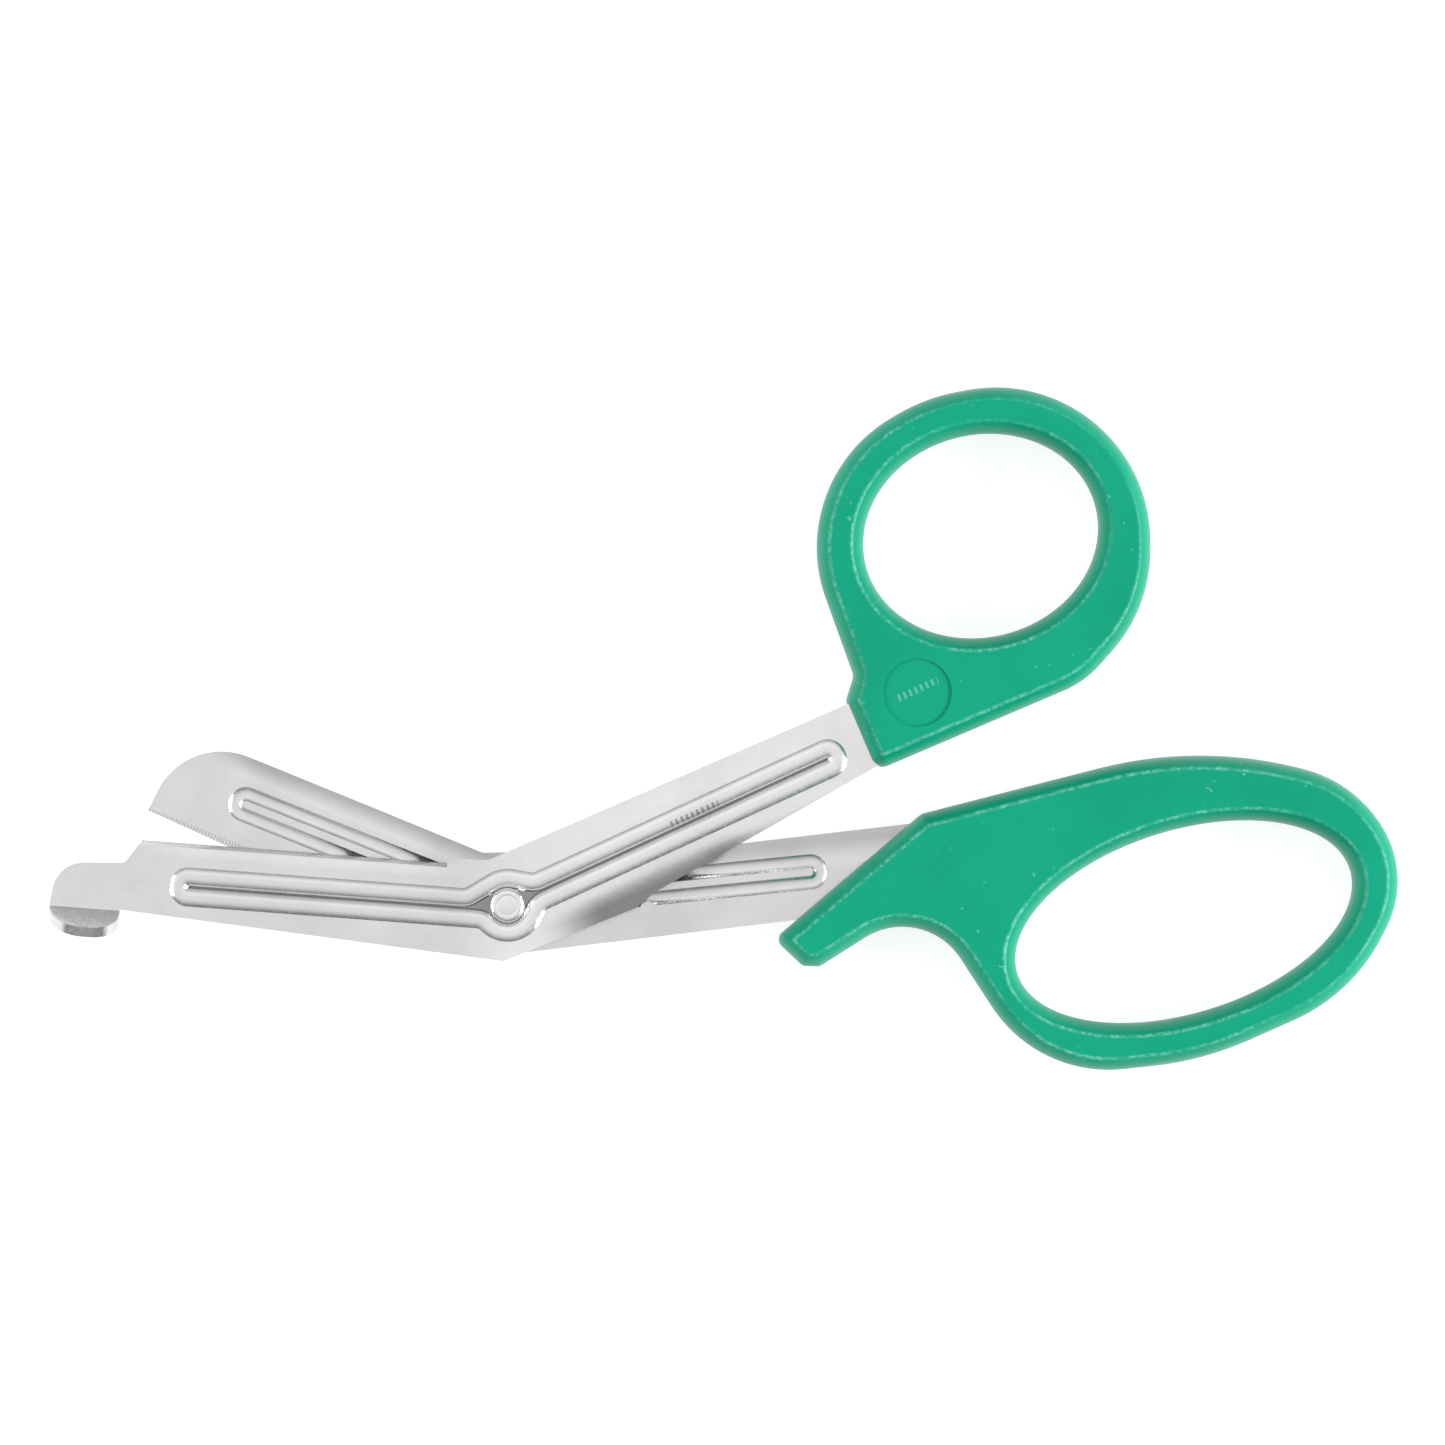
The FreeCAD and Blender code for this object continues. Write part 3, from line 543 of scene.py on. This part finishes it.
def new_group(name, inputs, outputs):
    """A shader group with named sockets. Returns it, its bench, and its two end nodes."""
    group = bpy.data.node_groups.new(name, "ShaderNodeTree")
    for label, kind in inputs.items():
        group.interface.new_socket(label, in_out="INPUT", socket_type="NodeSocket" + kind)
    for label, kind in outputs.items():
        group.interface.new_socket(label, in_out="OUTPUT", socket_type="NodeSocket" + kind)
    inside = group.nodes.new("NodeGroupInput").outputs
    outside = group.nodes.new("NodeGroupOutput").inputs
    return group, Bench(group), inside, outside


def new_material(name):
    """A material with its Principled shader wired up, and a bench for the rest."""
    material = bpy.data.materials.new(name)
    material.use_nodes = True
    material.node_tree.nodes.clear()
    bench = Bench(material.node_tree)
    shader = bench.add("BsdfPrincipled", {})
    bench.add("OutputMaterial", {"Surface": shader.outputs["BSDF"]})
    return material, bench, shader


# %% [markdown]
# Three effects are used by more than one finish, so each is a group. The first turns a
# place on the object into a distance along and across a stamped half. The second is a row
# of fine marks in a window: the teeth of a cutting edge, an etched mark, a moulded mark.
# The third is the grain that tumbling in a drum of stones leaves on sheet steel.


# %% Shared effects
def make_along_and_across():
    """Millimetres along and across from the pivot, on axes turned by an angle."""
    group, bench, inside, outside = new_group(
        "along_and_across", {"Place": "Vector", "Turn": "Float"},
        {"Along": "Float", "Across": "Float"},
    )
    turn = bench.add("CombineXYZ", {"Z": inside["Turn"]})
    local = bench.add(
        "Mapping",
        {"Vector": inside["Place"], "Location": tuple(PIVOT), "Rotation": turn.outputs[0]},
        vector_type="TEXTURE",
    )
    parts = bench.add("SeparateXYZ", {"Vector": local.outputs[0]})
    for name, axis in (("Along", "X"), ("Across", "Y")):
        distance = bench.maths("DIVIDE", parts.outputs[axis], MM)
        bench.link(distance, outside[name])
    return group


def make_row_of_marks():
    """1 on each mark of a row, 0 between them and outside the window."""
    group, bench, inside, outside = new_group(
        "row_of_marks",
        {"Along": "Float", "Across": "Float", "Start": "Float", "End": "Float",
         "Low": "Float", "High": "Float", "Pitch": "Float"},
        {"Mask": "Float"},
    )
    phase = bench.maths("DIVIDE", inside["Along"], inside["Pitch"])
    wave = bench.maths("SINE", bench.maths("MULTIPLY", phase, 2 * math.pi))
    marks = bench.ramp(wave, -0.2, 0.6, 0.0, 1.0)
    for value, low, high in (("Along", "Start", "End"), ("Across", "Low", "High")):
        above = bench.maths("GREATER_THAN", inside[value], inside[low])
        below = bench.maths("LESS_THAN", inside[value], inside[high])
        marks = bench.maths("MULTIPLY", marks, bench.maths("MULTIPLY", above, below))
    bench.link(marks, outside["Mask"])
    return group


def make_tumbled_grain():
    """Fine grain, broad unevenness, and a mask of the small dings between."""
    group, bench, inside, outside = new_group(
        "tumbled_grain", {"Place": "Vector"},
        {"Fine": "Float", "Broad": "Float", "Dings": "Float"},
    )
    fine = bench.noise(inside["Place"], 1500, 3, 0.5)
    broad = bench.noise(inside["Place"], 85, 3, 0.5)
    dings = bench.ramp(bench.noise(inside["Place"], 420, 2, 0.5), 0.62, 0.74, 0.0, 1.0)
    for name, source in (("Fine", fine), ("Broad", broad), ("Dings", dings)):
        bench.link(source, outside[name])
    return group


along_and_across = make_along_and_across()
row_of_marks = make_row_of_marks()
tumbled_grain = make_tumbled_grain()
print("shared groups:", [group.name for group in bpy.data.node_groups])


# %% [markdown]
# ### Green moulded plastic
#
# It is one strong green, a little cloudy, with a fine moulded texture. The crease is pale in
# patches, partly wear from hands and partly a painted highlight, and a few light specks lie
# on the flats. The badge carries a short row of plain marks.


# %% Green moulded plastic
DEEP_GREEN, LIGHT_GREEN = (0.0, 0.240, 0.137, 1), (0.0, 0.262, 0.152, 1)
# A pale green for the worn crease, which also serves as a painted highlight, and for the marks
# and specks.
PALE_WEAR_AND_HIGHLIGHT_GREEN = (0.19, 0.52, 0.40, 1)
MARKS_HALF_LONG, MARKS_LOW, MARKS_HIGH, MARKS_PITCH = 3.3, -0.1, 0.9, 0.85


def handle_plastic():
    material, bench, shader = new_material("green_moulding")
    place = bench.add("TexCoord", {}).outputs["Object"]
    crease = bench.add("Attribute", {}, attribute_name="crease").outputs["Fac"]
    local = bench.group(along_and_across, {"Place": place, "Turn": SHANK_TURN})
    marks = bench.group(row_of_marks, {
        "Along": local["Along"], "Across": local["Across"], "Pitch": MARKS_PITCH,
        "Start": BADGE_ALONG / MM - MARKS_HALF_LONG, "End": BADGE_ALONG / MM + MARKS_HALF_LONG,
        "Low": BADGE_ACROSS / MM + MARKS_LOW, "High": BADGE_ACROSS / MM + MARKS_HIGH,
    })["Mask"]
    cloudy = bench.ramp(bench.noise(place, 70), 0.35, 0.65, 0.0, 1.0)
    body = bench.blend(cloudy, DEEP_GREEN, LIGHT_GREEN)
    patchy = bench.ramp(bench.noise(place, 1500, 4, 0.7), 0.38, 0.68, 0.05, 0.62)
    handled = bench.ramp(bench.noise(place, 48), 0.38, 0.58, 0.25, 1.0)
    patchy = bench.maths("MULTIPLY", patchy, handled)
    specks = bench.ramp(bench.noise(place, 1000, 2, 0.4), 0.74, 0.80, 0.0, 0.45)
    # The crease is painted pale in patches, partly as wear and partly as a painted highlight.
    rubbed_and_highlight = bench.maths("MULTIPLY", crease, patchy)
    pale = bench.maths("MAXIMUM", rubbed_and_highlight, bench.maths("MULTIPLY", marks, 0.4))
    pale = bench.maths("MAXIMUM", pale, specks)
    colour = bench.blend(pale, body, PALE_WEAR_AND_HIGHLIGHT_GREEN)
    bench.link(colour, shader.inputs["Base Color"])
    rough = bench.ramp(cloudy, 0.0, 1.0, 0.30, 0.38)
    bench.link(rough, shader.inputs["Roughness"])
    shader.inputs["Specular IOR Level"].default_value = 0.15
    grain = bench.noise(place, 2600, 2)
    grain = bench.maths("MULTIPLY", grain, 0.006)
    raised = bench.maths("ADD", grain, bench.maths("MULTIPLY", marks, 0.06))
    bench.relief(raised, shader)
    return material


plastic = handle_plastic()
for loop in (thumb_loop, finger_loop):
    loop.data.materials.clear()
    loop.data.materials.append(plastic)
    print(loop.name, "is", plastic.name)

# %% [markdown]
# ### Tumbled stainless sheet
#
# The halves are tumbled after stamping, so they shine softly with no straight brush lines.
# Stamped sheet is never quite flat: it rolls away towards its sheared edges. The roll is
# too slight to model, so it is a height that the bump reads, in real millimetres. The steel
# is also painted darker there and in the valley, as painted shade. The ground edges have
# fine teeth, and the front shank has a row of plain etched ticks.
#
# Each roll is a band, laid out in millimetres along and across the shank or the blade. Both
# are measured from the pivot.

# %% Tumbled stainless sheet
FRONT_BLADE_TURN = SHANK_TURN + math.radians(151.0)
REAR_SHANK_TURN = math.radians(5.7)
REAR_BLADE_TURN = REAR_SHANK_TURN + math.radians(152.6)
EDGE_START, EDGE_END, TEETH_PITCH = 9.2, 52.0, 0.45
ETCH_START, ETCH_END, ETCH_LOW, ETCH_HIGH, ETCH_PITCH = 25.5, 33.0, 0.35, 1.15, 0.8
ROLL_FADE = 5.0
# This dark steel paints shade into the valley and the rolls, and also darkens the teeth and the
# etched ticks.
SHADE_AND_MARK_STEEL = (0.10, 0.095, 0.09, 1)
STEEL_TINT = (1.0, 0.995, 0.985)


def blade_steel(name, shank_turn, blade_turn, edge_low, edge_high, tones, rolls, etched):
    """The finish of one half. All its distances are in mm.

    edge_low and edge_high bound the ground edge across the blade. tones are the darkest and
    lightest tone of the grain. Each roll is (shank or blade, from, to, drop, shade, start,
    end): between two distances across, the sheet falls by drop and is painted darker by
    shade, a painted shade, on the stretch from start to end.
    """
    material, bench, shader = new_material(name)
    place = bench.add("TexCoord", {}).outputs["Object"]
    shank = bench.group(along_and_across, {"Place": place, "Turn": shank_turn})
    blade = bench.group(along_and_across, {"Place": place, "Turn": blade_turn})
    grain = bench.group(tumbled_grain, {"Place": place})
    valley = bench.add("Attribute", {}, attribute_name="valley").outputs["Fac"]
    teeth = bench.group(row_of_marks, {
        "Along": blade["Along"], "Across": blade["Across"], "Pitch": TEETH_PITCH,
        "Start": EDGE_START, "End": EDGE_END, "Low": edge_low, "High": edge_high,
    })["Mask"]
    height = bench.maths("MULTIPLY", grain["Fine"], 0.003)
    height = bench.maths("ADD", height, bench.maths("MULTIPLY", grain["Broad"], 0.22))
    height = bench.maths("SUBTRACT", height, bench.maths("MULTIPLY", grain["Dings"], 0.004))
    # The valley is painted darker: a painted shade in the crease.
    shade_and_marks = bench.maths("MULTIPLY", valley, 0.72)
    shade_and_marks = bench.maths("MAXIMUM", shade_and_marks, bench.maths("MULTIPLY", teeth, 0.35))
    # Each roll paints shade: the steel is painted darker by shade across its band.
    for side, start, end, drop, shade, near, far in rolls:
        local = shank if side == "shank" else blade
        fall = bench.ramp(local["Across"], start, end, 0.0, 1.0)
        here = bench.window(local["Along"], near, far, ROLL_FADE)
        fall = bench.maths("MULTIPLY", fall, here)
        height = bench.maths("SUBTRACT", height, bench.maths("MULTIPLY", fall, drop))
        shade_and_marks = bench.maths("MAXIMUM", shade_and_marks, bench.maths("MULTIPLY", fall, shade))
    tone = bench.ramp(grain["Broad"], 0.3, 0.7, 0.0, 1.0)
    darkest, lightest = [(*(t * tint for tint in STEEL_TINT), 1) for t in tones]
    colour = bench.blend(tone, darkest, lightest)
    if etched:
        mark = bench.group(row_of_marks, {
            "Along": shank["Along"], "Across": shank["Across"], "Pitch": ETCH_PITCH,
            "Start": ETCH_START, "End": ETCH_END, "Low": ETCH_LOW, "High": ETCH_HIGH,
        })["Mask"]
        shade_and_marks = bench.maths("MAXIMUM", shade_and_marks, bench.maths("MULTIPLY", mark, 0.6))
    colour = bench.blend(shade_and_marks, colour, SHADE_AND_MARK_STEEL)
    bench.link(colour, shader.inputs["Base Color"])
    shader.inputs["Metallic"].default_value = 1.0
    rough = bench.ramp(grain["Fine"], 0.3, 0.7, 0.20, 0.32)
    bench.link(rough, shader.inputs["Roughness"])
    bench.relief(height, shader)
    return material


# The shade in each roll is painted shade.
FRONT_ROLLS = [
    ("shank", -3.6, -6.6, 0.7, 0.78, 7.0, 34.0),
    ("shank", -4.4, -7.0, 0.5, 0.45, 30.0, 60.0),
    ("shank", 4.0, 0.0, 0.0, 0.06, 6.0, 60.0),
    ("blade", 20.0, 10.0, 0.0, 0.14, 4.0, 70.0),
    ("blade", -3.2, -5.4, 0.25, 0.22, 8.0, 50.0),
    ("blade", 4.5, 1.5, 0.0, 0.25, 51.0, 56.0),
]
REAR_ROLLS = [
    ("blade", -2.6, -5.5, 0.5, 0.42, 2.0, 44.0),
    ("shank", 1.0, 4.5, 0.3, 0.32, 5.0, 60.0),
]
front_finish = blade_steel(
    "tumbled_front_sheet", SHANK_TURN, FRONT_BLADE_TURN, -5.3, -4.95, (0.75, 0.82),
    FRONT_ROLLS, True,
)
# The rear half is the same steel as the front, painted with darker tones as painted shade.
rear_finish = blade_steel(
    "tumbled_rear_sheet", REAR_SHANK_TURN, REAR_BLADE_TURN, 6.0, 8.6, (0.63, 0.71),
    REAR_ROLLS, False,
)
front_steel.data.materials.append(front_finish)
rear_steel.data.materials.append(rear_finish)
print("rolls on the halves:", len(FRONT_ROLLS), len(REAR_ROLLS))

# %% [markdown]
# ### Turned rivet steel
#
# The rivet and its washer are a little brighter and smoother than the sheet, and share its
# grain. The washer is still the frame's own node, and only its material changes.


# %% Turned rivet steel
DARK_TURNED, LIGHT_TURNED = (0.74, 0.735, 0.73, 1), (0.82, 0.815, 0.81, 1)


def rivet_steel():
    material, bench, shader = new_material("turned_rivet")
    place = bench.add("TexCoord", {}).outputs["Object"]
    grain = bench.group(tumbled_grain, {"Place": place})
    colour = bench.blend(grain["Broad"], DARK_TURNED, LIGHT_TURNED)
    bench.link(colour, shader.inputs["Base Color"])
    shader.inputs["Metallic"].default_value = 1.0
    rough = bench.ramp(grain["Fine"], 0.3, 0.7, 0.16, 0.28)
    bench.link(rough, shader.inputs["Roughness"])
    height = bench.maths("MULTIPLY", grain["Fine"], 0.003)
    bench.relief(height, shader)
    return material


rivet_finish = rivet_steel()
rivet.data.materials.append(rivet_finish)
frame["nodes"]["rivet_washer"].data.materials[0] = rivet_finish
print("rivet and washer are", rivet_finish.name)

# %% [markdown]
# ## The table
#
# The shears lie on a plain white table. It glows a little, which keeps their shadows soft
# and stops the green of the loops from tinting the white around them.

# %% The table
TABLE_WIDE = 6.0
bpy.ops.object.select_all(action="DESELECT")
bpy.ops.mesh.primitive_plane_add(size=TABLE_WIDE, location=(0, 0, 0))
table = bpy.context.object
table.name = "table"
paper, _, shader = new_material("pale_table")
shader.inputs["Base Color"].default_value = (0.3, 0.3, 0.3, 1)
shader.inputs["Roughness"].default_value = 0.9
shader.inputs["Emission Color"].default_value = (1, 1, 1, 1)
shader.inputs["Emission Strength"].default_value = 0.8
table.data.materials.append(paper)
print("table is", TABLE_WIDE, "m wide")

# %% [markdown]
# ## The light
#
# Two long narrow softboxes stand low at the ends. They mostly brighten what leans towards
# them: the flanks of the loops and the ends of the beads.


# %% The two softboxes
def softbox(name, where, lean, power):
    """A long strip light that leans in from one end, with lean in degrees."""
    data = bpy.data.lights.new(name, "AREA")
    data.shape = "RECTANGLE"
    data.size, data.size_y = STRIP_SIZE
    data.energy = power
    box = bpy.data.objects.new(name, data)
    box.location = where
    box.rotation_euler = (0, math.radians(lean), 0)
    bpy.context.scene.collection.objects.link(box)
    print(name, "gives", power, "W")


STRIP_SIZE = (0.3, 1.2)
softbox("left_strip", (-1.3, 0.1, 0.55), -67, 13.0)
softbox("right_strip", (1.3, -0.2, 0.55), 67, 32.0)

# %% [markdown]
# The rest of the room is a white dome, bright overhead and dim at the horizon, so that
# curved steel has something to fade towards. It is a little brighter on the far side than
# on the near side.

# %% The dome of the room
ZENITH = 0.98
HORIZON = 0.30
LEAN = (-0.10, 0.35, 0.0)
FADE_LOW, FADE_HIGH = 0.1, 0.95
world = bpy.data.worlds.new("studio")
world.use_nodes = True
background = world.node_tree.nodes["Background"]
background.inputs["Color"].default_value = (1, 1, 1, 1)
room = Bench(world.node_tree)
direction = room.add("TexCoord", {}).outputs["Generated"]
height = room.add("SeparateXYZ", {"Vector": direction}).outputs["Z"]
fade = room.ramp(height, FADE_LOW, FADE_HIGH, HORIZON, ZENITH)
lean = room.add("VectorMath", {0: direction, 1: LEAN}, operation="DOT_PRODUCT").outputs["Value"]
strength = room.add("Math", {0: fade, 1: lean, 2: fade}, operation="MULTIPLY_ADD").outputs[0]
room.link(strength, background.inputs["Strength"])
print("dome from", HORIZON, "at the horizon to", ZENITH, "overhead")
bpy.context.scene.world = world

# %% [markdown]
# ## The camera
#
# The camera looks straight down from well above through a long lens, so the outlines are
# almost free of perspective. The lens is worked out from how much of the middle plane the
# picture has to hold. The plain view transform keeps the white of the table white.

# %% The camera
CAMERA_HIGH = 1.2
VIEW_WIDE = 203.75 * MM
SENSOR = 36
camera_data = bpy.data.cameras.new("overhead_camera")
camera_data.sensor_width = SENSOR
camera_data.lens = SENSOR * (CAMERA_HIGH - PARTING) / VIEW_WIDE
camera = bpy.data.objects.new("overhead_camera", camera_data)
camera.location = (-0.17 * MM, 0.86 * MM, CAMERA_HIGH)
bpy.context.scene.collection.objects.link(camera)
bpy.context.scene.camera = camera
bpy.context.scene.view_settings.view_transform = "Standard"
print("lens in mm:", round(camera_data.lens, 1))
